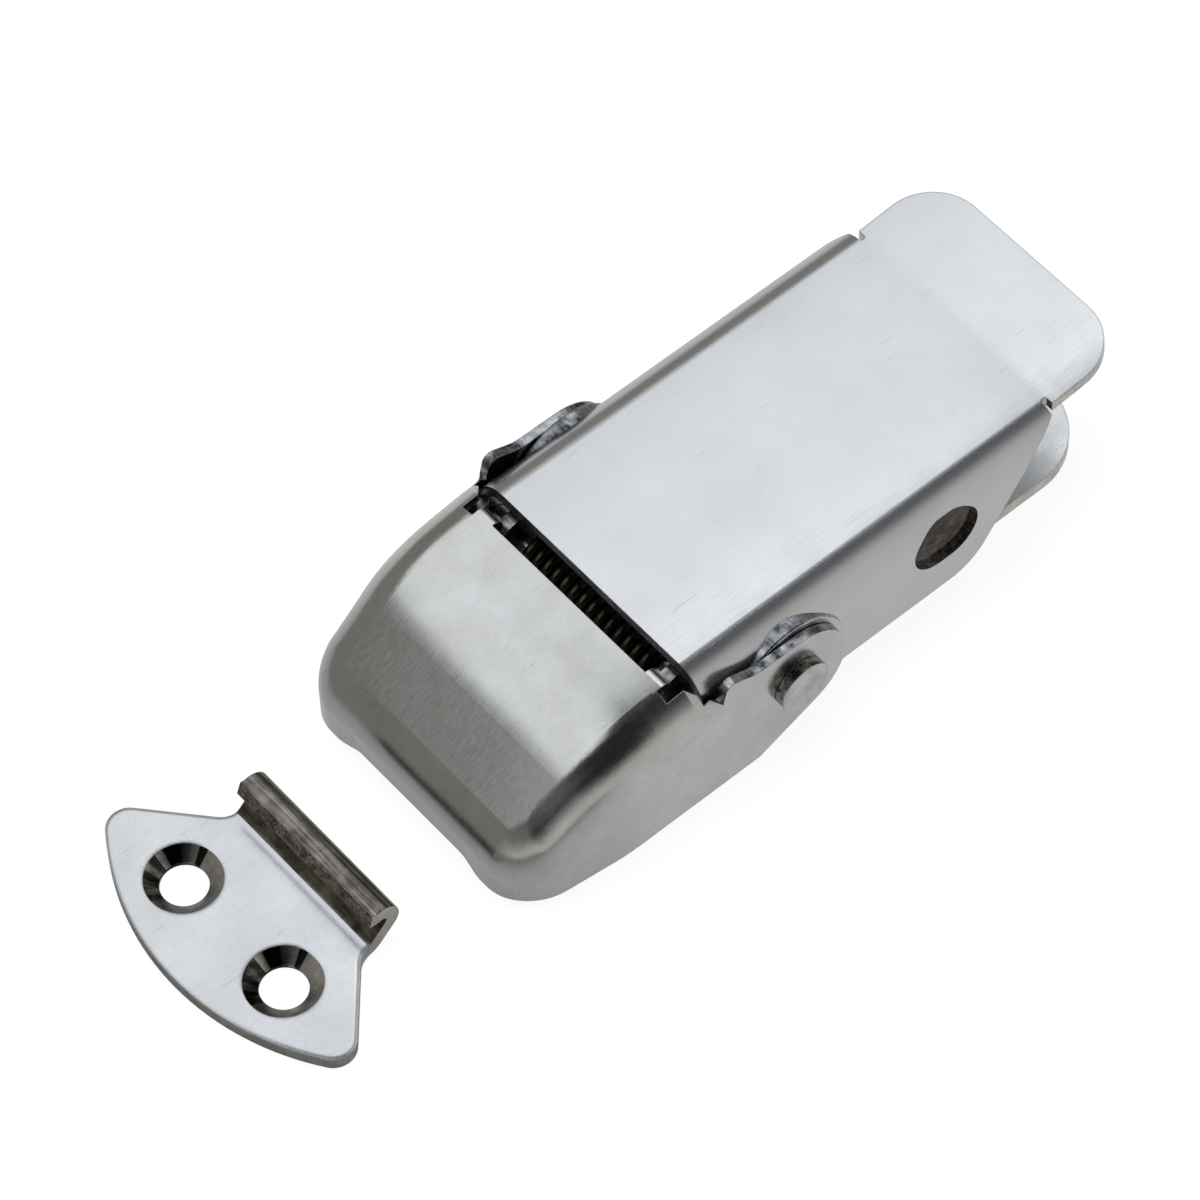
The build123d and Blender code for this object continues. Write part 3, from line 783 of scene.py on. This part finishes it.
@dataclass
class SheetPiece:
    """A piece of folded sheet, with a finish for its faces and others for its cut edges.

    Attributes:
        node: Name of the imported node.
        sheet: Thickness of the sheet, in metres.
        face: Finish of the sheet's own faces.
    """

    node: str
    sheet: float
    face: SteelFinish

    def surface(self, centre: Vector, normal: Vector) -> SteelFinish:
        """Choose the finish of a face of the sheet."""
        return self.face

    def edge(self, centre: Vector) -> SteelFinish:
        """Choose the finish of a cut edge of the sheet."""
        return SHEARED_FLAT

    def dress(self, nodes: dict[str, bpy.types.Object]) -> None:
        """Set the finishes of the piece.

        Args:
            nodes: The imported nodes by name.
        """
        obj = nodes[self.node]
        cut = cut_faces(obj, self.sheet)
        finishes = []
        for face in obj.data.polygons:
            finish = self.surface(face.center, face.normal)
            if finish is self.face and face.index in cut:
                finish = self.edge(face.center)
            finishes.append(finish)
        paint(obj, finishes)


@dataclass
class Lever(SheetPiece):
    """The folded lever, with its thumb tab and padlock eye, and the two rivets that carry the hook.

    Attributes:
        wall_y: Distance of the walls from the middle, in metres.
        front_x: Place along the latch behind which the top's edges belong to the tab, in metres.
        eye_x: Place of the padlock eye along the latch, in metres.
        eye_reach: Half of the length that the eye and the lower edge near it take up, in metres.
    """

    node: str = "lever"
    sheet: float = 1.2 * MM
    face: SteelFinish = SATIN_SHEET
    wall_y: float = 15.0 * MM
    front_x: float = -10.0 * MM
    eye_x: float = 5.8 * MM
    eye_reach: float = 7.0 * MM

    def edge(self, centre: Vector) -> SteelFinish:
        """Choose the finish of a cut edge: the tab's, the front's, the padlock eye's or an ear's.

        Args:
            centre: Middle of the face.

        Returns:
            The finish.
        """
        if abs(centre.y) < self.wall_y:
            return SHEARED_FLAT if centre.x < self.front_x else PALE_EDGE
        return MOTTLED_EDGE if abs(centre.x - self.eye_x) < self.eye_reach else SHEARED_WALL

    def dress(self, nodes: dict[str, bpy.types.Object]) -> None:
        """Set the finishes of the lever and its rivets.

        Args:
            nodes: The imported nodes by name.
        """
        super().dress(nodes)
        for name in ("hook_rivet_left", "hook_rivet_right"):
            rivet = nodes[name]
            paint(rivet, [HEADED_WIRE if abs(f.normal.y) > 0.5 else TORN_RIM for f in rivet.data.polygons])


@dataclass
class HookCap(SheetPiece):
    """The drawn cap that hooks over the keeper.

    Attributes:
        wall_y: Distance of the ears from the middle, in metres.
    """

    node: str = "hook_cap"
    sheet: float = 1.0 * MM
    face: SteelFinish = DRAWN_SHEET
    wall_y: float = 15.5 * MM

    def edge(self, centre: Vector) -> SteelFinish:
        """Choose the finish of a cut edge, on the cap's top or on its ears."""
        return SHEARED_FLAT if abs(centre.y) < self.wall_y else SHEARED_WALL


@dataclass
class Base(SheetPiece):
    """The base plate, with the lever's pivot pin and its torsion spring.

    Attributes:
        floor_z: Height of the top of the floor, in metres.
    """

    node: str = "base_plate"
    sheet: float = 1.5 * MM
    face: SteelFinish = MILL_SHEET
    floor_z: float = 1.6 * MM

    def surface(self, centre: Vector, normal: Vector) -> SteelFinish:
        """Choose the finish of a face, which on the lugs inside the lever is painted dark as shade."""
        # The lugs inside the lever take a colour painted dark as the shade under the lever
        return SHADED_LUG_SHEET if centre.z > self.floor_z and abs(normal.y) > 0.9 else self.face

    def edge(self, centre: Vector) -> SteelFinish:
        """Choose the finish of a cut edge, on the floor or on the lugs."""
        return PALE_EDGE if centre.z < self.floor_z else SHEARED_WALL

    def dress(self, nodes: dict[str, bpy.types.Object]) -> None:
        """Set the finishes of the base, the pin and the spring.

        Args:
            nodes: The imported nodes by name.
        """
        super().dress(nodes)
        # The spring's wire is painted dark as the shade under the lever
        for name, finish in (("lever_pin", TURNED_BAR), ("torsion_spring", SHADED_SPRING_WIRE)):
            paint(nodes[name], [finish] * len(nodes[name].data.polygons))


@dataclass
class Keeper(SheetPiece):
    """The keeper plate with its curled lip.

    Attributes:
        hole_x: Distance of the screw holes along the latch, in metres.
        hole_y: Distance of each screw hole from the middle, in metres.
        bore_radius: Radius within which a sloping face is a countersink, in metres.
        lip_z: Height above which the sheet is bent up into the lip, in metres.
        tip_z: Height above which the sheet is in the lip's curl, in metres.
    """

    node: str = "keeper"
    sheet: float = 1.5 * MM
    face: SteelFinish = TUMBLED_SHEET
    hole_x: float = -69.6 * MM
    hole_y: float = 7.5 * MM
    bore_radius: float = 4.2 * MM
    lip_z: float = 1.62 * MM
    tip_z: float = 4.4 * MM

    def surface(self, centre: Vector, normal: Vector) -> SteelFinish:
        """Choose the finish of a face: plate, countersink, or one of the sides of the lip.

        Args:
            centre: Middle of the face.
            normal: Direction that the face looks in.

        Returns:
            The finish.
        """
        reach = math.hypot(centre.x - self.hole_x, abs(centre.y) - self.hole_y)
        if reach < self.bore_radius and abs(normal.z) < 0.95:
            return COUNTERSINK
        if centre.z < self.lip_z or abs(normal.y) > 0.5:
            return self.face
        if centre.z > self.tip_z and -0.98 < normal.x < -0.85:
            return BROKEN_EDGE
        # The riser's hollow is painted dark as shade; the lip's back and top are painted partly with the
        # curl's reflection
        return SHADED_INNER_BEND if normal.x < -0.15 else STRETCHED_AND_SHADED_BEND

    def edge(self, centre: Vector) -> SteelFinish:
        """Choose the finish of the plate's outline and of the lip's ends."""
        return PALE_EDGE


@dataclass(frozen=True)
class Viewpoint:
    """The camera.

    Attributes:
        position: Place of the camera, in metres.
        azimuth: Direction of the view: 0 looks along +Y and 90 along -X, in degrees.
        elevation: Height of the camera above the horizon, in degrees.
        roll: Turn about the line of sight, in degrees.
        lens: Focal length, in millimetres.
        sensor: Width of the sensor, in millimetres.
    """

    position: tuple[float, float, float] = (-0.2282, -0.2525, 0.4936)
    azimuth: float = -38.97
    elevation: float = 56.0
    roll: float = -1.99
    lens: float = 183.27
    sensor: float = 36.0

    def build(self) -> None:
        """Make the camera and set it as the scene's."""
        az, el, roll = (math.radians(a) for a in (self.azimuth, self.elevation, self.roll))
        ahead = Vector((-math.sin(az) * math.cos(el), math.cos(az) * math.cos(el), -math.sin(el)))
        level = Vector((math.cos(az), math.sin(az), 0.0))
        above = level.cross(ahead)
        right = level * math.cos(roll) + above * math.sin(roll)
        up = above * math.cos(roll) - level * math.sin(roll)
        data = bpy.data.cameras.new("view")
        data.lens, data.sensor_width = self.lens, self.sensor
        data.clip_start, data.clip_end = 0.01, 10.0
        camera = bpy.data.objects.new("view", data)
        bpy.context.scene.collection.objects.link(camera)
        turn = Matrix((right, up, -ahead)).transposed().to_4x4()
        camera.matrix_world = Matrix.Translation(self.position) @ turn
        bpy.context.scene.camera = camera
        log.info("camera set")


@dataclass(frozen=True)
class Studio:
    """A white table in a dim room, lit by a curved bank of light behind the latch.

    Attributes:
        floor_radius: Radius of the table, in metres.
        floor_glow: Light that the table shows to the eye.
        floor_mirrored: Share of that light that the steel mirrors.
        floor_end: Share that is left at the dim end of the table, in front of the hook.
        floor_end_x: Place along the latch up to which the table is dim, in metres.
        floor_full_x: Place along the latch from which the table is bright, in metres.
        floor_paper: Colour of the paper.
        bank_radius: Distance of the bank of light, in metres.
        bank_from: Azimuth at which the bank starts, from +X towards +Y, in degrees.
        bank_to: Azimuth at which the bank ends, in degrees.
        bank_low: Elevation of the bank's lower edge, in degrees.
        bank_high: Elevation of the bank's upper edge, in degrees.
        bank_turn: Elevation above which the bank brightens, in degrees.
        bank_hook_low: Elevation below which the bank is dim on the side of the hook, in degrees.
        bank_hook_high: Elevation above which the bank is bright on that side, in degrees.
        bank_skirt: Strength of the bank's dim part on that side.
        bank_hook: Strength of the bank's bright part on that side.
        bank_dim: Strength of the bank on the other side, below the turn.
        bank_bright: Strength of the bank on the other side, at its upper edge.
        bank_hook_x: Place along the latch up to which the bank is lit as on the side of the hook, in metres.
        bank_tab_x: Place along the latch from which it is lit as on the other side, in metres.
        bank_columns: Number of the bank's panels along it.
        bank_rows: Number of its panels from edge to edge.
        room_front: Colour of the room in front of the latch, at the level of the table.
        room_back: Colour of the room behind it.
        room_high: Colour of the room overhead.
        room_tail: Colour of the room overhead on the side of the thumb tab.
        room_depth: Directions in Y between which the room's front passes into its back.
        room_width: Directions in X between which the side of the hook passes into that of the tab.
        dusk_hook: Directions in Z between which the front of the room darkens, on the side of the hook.
        dusk_tab: The same on the side of the tab.
        dusk_back: The same at the back of the room.
        top_light: Power of the overhead lamp that lights the paper, in watts.
    """

    floor_radius: float = 0.3
    floor_glow: float = 0.93
    floor_mirrored: float = 0.71
    floor_end: float = 0.25
    floor_end_x: float = -75.0 * MM
    floor_full_x: float = -30.0 * MM
    floor_paper: str = "#5A5A5A"
    bank_radius: float = 0.7
    bank_from: float = 24.0
    bank_to: float = 165.0
    bank_low: float = 37.0
    bank_high: float = 71.0
    bank_turn: float = 57.5
    bank_hook_low: float = 40.0
    bank_hook_high: float = 43.5
    bank_skirt: float = 0.4
    bank_hook: float = 1.42
    bank_dim: float = 1.44
    bank_bright: float = 3.7
    bank_hook_x: float = 0.12
    bank_tab_x: float = 0.26
    bank_columns: int = 48
    bank_rows: int = 8
    room_front: str = "#E1E0DD"
    room_back: str = "#939089"
    room_high: str = "#2C2C31"
    room_tail: str = "#6C6C70"
    room_depth: tuple[float, float] = (-0.5, 0.25)
    room_width: tuple[float, float] = (0.08, 0.36)
    dusk_hook: tuple[float, float] = (0.1, 0.6)
    dusk_tab: tuple[float, float] = (0.5, 0.93)
    dusk_back: tuple[float, float] = (0.45, 0.9)
    top_light: float = 6.0

    def mesh_object(self, name: str, form: bmesh.types.BMesh) -> bpy.types.Object:
        """Turn a mesh under construction into a stage object.

        Args:
            name: Name of the object.
            form: The mesh, which is freed.

        Returns:
            The object, marked as stage.
        """
        mesh = bpy.data.meshes.new(name)
        form.to_mesh(mesh)
        form.free()
        obj = bpy.data.objects.new(name, mesh)
        bpy.context.scene.collection.objects.link(obj)
        obj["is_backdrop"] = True
        return obj

    def floor(self) -> None:
        """Lay the table: white to the eye and in reflections, with the latch's shadow on the paper."""
        form = bmesh.new()
        bmesh.ops.create_circle(form, cap_ends=True, segments=96, radius=self.floor_radius)
        bmesh.ops.translate(form, verts=form.verts, vec=(0, 0, -0.05 * MM))
        table = self.mesh_object("table", form)
        paper = bpy.data.materials.new("white_paper")
        paper.use_nodes = True
        tree = paper.node_tree
        tree.nodes.remove(tree.nodes["Principled BSDF"])
        camera_ray = add_node(tree, Kind.LIGHT_PATH, output="Is Camera Ray")
        glossy_ray = add_node(tree, Kind.LIGHT_PATH, output="Is Glossy Ray")
        through_ray = add_node(tree, Kind.LIGHT_PATH, output="Is Transmission Ray")
        seen = add_node(
            tree, Kind.MATHS, {0: glossy_ray, 1: self.floor_mirrored, 2: camera_ray}, operation="MULTIPLY_ADD"
        )
        seen = add_node(tree, Kind.MATHS, {0: seen, 1: through_ray}, operation="ADD", use_clamp=True)
        place = add_node(tree, Kind.COORDINATES, output="Object")
        along = add_node(tree, Kind.SPLIT, {"Vector": place}, output="X")
        falloff = add_node(
            tree,
            Kind.RANGE,
            {
                "Value": along,
                "From Min": self.floor_end_x,
                "From Max": self.floor_full_x,
                "To Min": self.floor_end,
                "To Max": 1.0,
            },
        )
        level = add_node(tree, Kind.MATHS, {0: camera_ray, 1: falloff}, operation="MAXIMUM")
        seen = add_node(tree, Kind.MATHS, {0: seen, 1: level}, operation="MULTIPLY")
        glow = add_node(tree, Kind.MATHS, {0: seen, 1: self.floor_glow}, operation="MULTIPLY")
        emission = add_node(tree, Kind.EMISSION, {"Strength": glow})
        diffuse = add_node(tree, Kind.DIFFUSE, {"Color": linear(self.floor_paper)})
        both = add_node(tree, Kind.ADD_SHADER, {0: emission, 1: diffuse})
        tree.links.new(both, tree.nodes["Material Output"].inputs["Surface"])
        table.data.materials.append(paper)

    def bank_height(self, elevation: float) -> float:
        """Return the height of the bank at an elevation in degrees, in metres."""
        return self.bank_radius * math.sin(math.radians(elevation))

    def bank(self) -> None:
        """Hang the bank of light, which brightens towards the upper edge of one side."""
        form = bmesh.new()
        columns, rows = self.bank_columns, self.bank_rows
        grid = []
        for j in range(rows + 1):
            elevation = self.bank_low + (self.bank_high - self.bank_low) * j / rows
            flat = self.bank_radius * math.cos(math.radians(elevation))
            ring = []
            for i in range(columns + 1):
                azimuth = math.radians(self.bank_from + (self.bank_to - self.bank_from) * i / columns)
                place = (flat * math.cos(azimuth), flat * math.sin(azimuth), self.bank_height(elevation))
                ring.append(form.verts.new(place))
            grid.append(ring)
        for lower, upper in zip(grid, grid[1:]):
            for i in range(columns):
                form.faces.new((lower[i], lower[i + 1], upper[i + 1], upper[i]))
        bank = self.mesh_object("bank", form)
        bank.visible_camera = False
        glow = bpy.data.materials.new("bank_of_light")
        glow.use_nodes = True
        tree = glow.node_tree
        tree.nodes.remove(tree.nodes["Principled BSDF"])
        place = add_node(tree, Kind.COORDINATES, output="Object")
        height = add_node(tree, Kind.SPLIT, {"Vector": place}, output="Z")
        along = add_node(tree, Kind.SPLIT, {"Vector": place}, output="X")
        sides = {"Value": along, "From Min": self.bank_hook_x, "From Max": self.bank_tab_x}
        side = add_node(tree, Kind.RANGE, sides)
        rise = add_node(
            tree,
            Kind.RANGE,
            {
                "Value": height,
                "From Min": self.bank_height(self.bank_turn),
                "From Max": self.bank_height(self.bank_high),
                "To Min": self.bank_dim,
                "To Max": self.bank_bright,
            },
        )
        hook = add_node(
            tree,
            Kind.RANGE,
            {
                "Value": height,
                "From Min": self.bank_height(self.bank_hook_low),
                "From Max": self.bank_height(self.bank_hook_high),
                "To Min": self.bank_skirt,
                "To Max": self.bank_hook,
            },
        )
        strength = add_node(tree, Kind.MIX, {0: side, FLOAT_A: hook, FLOAT_B: rise})
        emission = add_node(tree, Kind.EMISSION, {"Color": linear("#F8FAFE"), "Strength": strength})
        tree.links.new(emission, tree.nodes["Material Output"].inputs["Surface"])
        bank.data.materials.append(glow)

    def overhead_lamp(self) -> None:
        """Hang the lamp that lights the paper and gives the soft shadow; the steel doesn't mirror it."""
        data = bpy.data.lights.new("overhead", "AREA")
        data.shape, data.size, data.energy = "DISK", 0.5, self.top_light
        lamp = bpy.data.objects.new("overhead", data)
        lamp.location = (0.05, 0.15, 0.8)
        lamp.rotation_euler = Vector(lamp.location).to_track_quat("Z", "Y").to_euler()
        lamp.visible_glossy = False
        bpy.context.scene.collection.objects.link(lamp)

    def room_light(self) -> None:
        """Make the world: white to the camera, and a dim room to everything else."""
        world = bpy.data.worlds.new("room")
        bpy.context.scene.world = world
        world.use_nodes = True
        tree = world.node_tree
        tree.nodes.remove(tree.nodes["Background"])
        white = add_node(tree, Kind.BACKGROUND, {"Color": (1.0, 1.0, 1.0, 1.0), "Strength": 1.0})
        direction = add_node(tree, Kind.COORDINATES, output="Generated")
        height = add_node(tree, Kind.SPLIT, {"Vector": direction}, output="Z")
        depth = add_node(tree, Kind.SPLIT, {"Vector": direction}, output="Y")
        sideways = add_node(tree, Kind.SPLIT, {"Vector": direction}, output="X")
        near, far = self.room_depth
        behind = add_node(tree, Kind.RANGE, {"Value": depth, "From Min": near, "From Max": far})
        level = add_node(
            tree,
            Kind.MIX,
            {0: behind, COLOUR_A: linear(self.room_front), COLOUR_B: linear(self.room_back)},
            output=COLOUR_RESULT,
            data_type="RGBA",
        )
        hook, tab = self.room_width
        tail = add_node(tree, Kind.RANGE, {"Value": sideways, "From Min": hook, "From Max": tab})
        over_hook, over_tab, over_back = (
            add_node(
                tree,
                Kind.RANGE,
                {"Value": height, "From Min": low, "From Max": high},
                interpolation_type="SMOOTHSTEP",
            )
            for low, high in (self.dusk_hook, self.dusk_tab, self.dusk_back)
        )
        before = add_node(tree, Kind.MIX, {0: tail, FLOAT_A: over_hook, FLOAT_B: over_tab})
        overhead = add_node(tree, Kind.MIX, {0: behind, FLOAT_A: before, FLOAT_B: over_back})
        high = add_node(
            tree,
            Kind.MIX,
            {0: tail, COLOUR_A: linear(self.room_high), COLOUR_B: linear(self.room_tail)},
            output=COLOUR_RESULT,
            data_type="RGBA",
        )
        shade = add_node(
            tree,
            Kind.MIX,
            {0: overhead, COLOUR_A: level, COLOUR_B: high},
            output=COLOUR_RESULT,
            data_type="RGBA",
        )
        dim = add_node(tree, Kind.BACKGROUND, {"Color": shade, "Strength": 1.0})
        camera_ray = add_node(tree, Kind.LIGHT_PATH, output="Is Camera Ray")
        both = add_node(tree, Kind.MIX_SHADER, {0: camera_ray, 1: dim, 2: white})
        tree.links.new(both, tree.nodes["World Output"].inputs["Surface"])

    def build(self) -> None:
        """Build the table, the lights and the room."""
        self.floor()
        self.bank()
        self.overhead_lamp()
        self.room_light()
        bpy.context.scene.view_settings.view_transform = "Standard"
        log.info("studio built")


def record_size(sizes: dict[str, list[list[float]]], moment: str) -> None:
    """Note the whole object's box.

    Args:
        sizes: The boxes noted so far, which gains one.
        moment: Name of the moment at which the box is taken.
    """
    low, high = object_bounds()
    sizes[moment] = [list(low), list(high)]


def main() -> None:
    """Dress the latch and set it in its studio."""
    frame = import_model()
    sizes: dict[str, list[list[float]]] = {}
    record_size(sizes, "loaded")
    nodes = frame["nodes"]
    for piece in (Base(), Lever(), HookCap(), Keeper()):
        piece.dress(nodes)
    Studio().build()
    Viewpoint().build()
    record_size(sizes, "finished")


if __name__ == "__main__":
    logging.basicConfig(level=logging.INFO, format="%(name)s: %(message)s")
    main()
